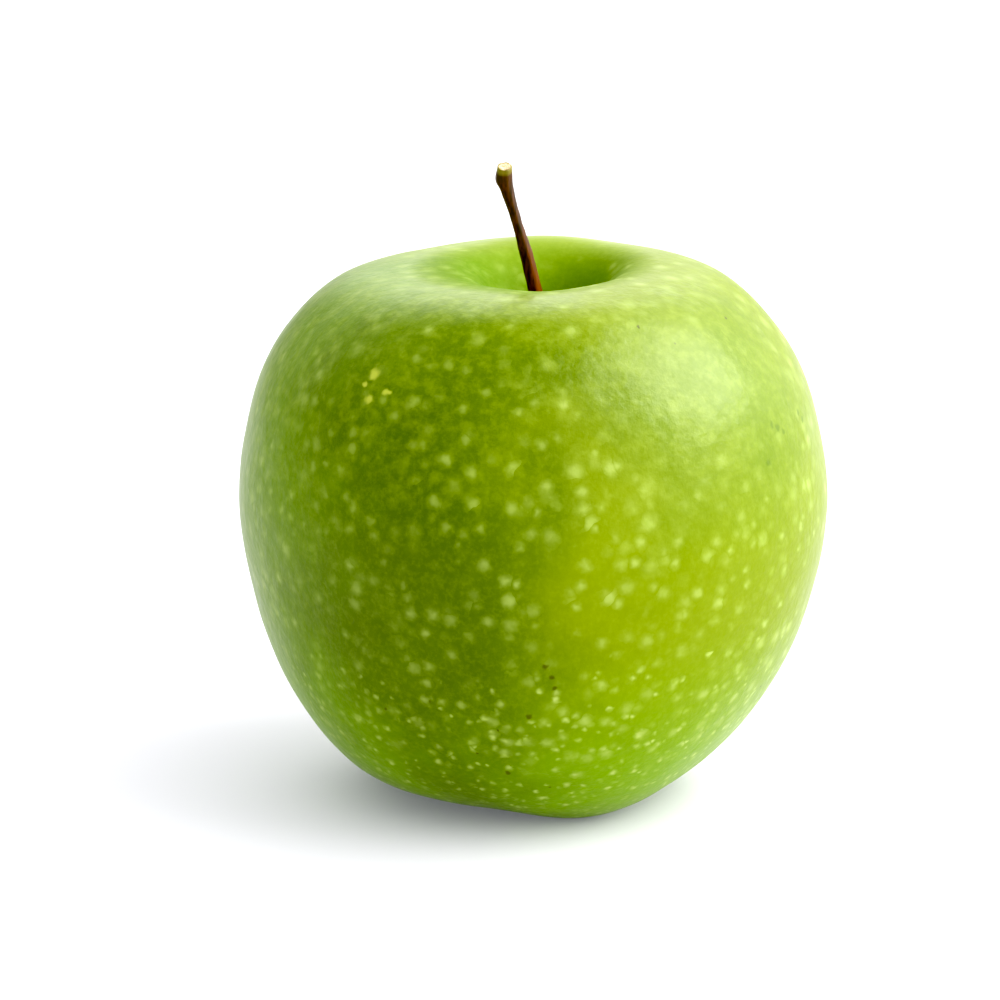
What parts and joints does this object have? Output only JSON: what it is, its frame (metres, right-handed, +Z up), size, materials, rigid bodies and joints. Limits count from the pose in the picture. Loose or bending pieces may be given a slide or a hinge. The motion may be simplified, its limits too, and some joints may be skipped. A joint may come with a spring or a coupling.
{
  "type": "green apple",
  "caption": "Round green apple with a slender leaning stem in the bowl at its top and a dried calyx in the basin underneath.",
  "frame": {"origin": "middle of the apple's outline, at the level of the surface it stands on", "axes": "+Z up along the core towards the stem, -Y towards the picture's camera, +X to the right in the picture"},
  "size_m": [0.0804, 0.0806, 0.0876],
  "materials": {
    "skin": "satin waxy apple skin, yellow-green with small pale dots",
    "stem": "dark brown bark, cream where it is cut",
    "calyx": "dry brown sepals"
  },
  "bodies": {
    "root": {"fruit": "skin", "stem": "stem", "calyx": "calyx"}
  },
  "joints": []
}
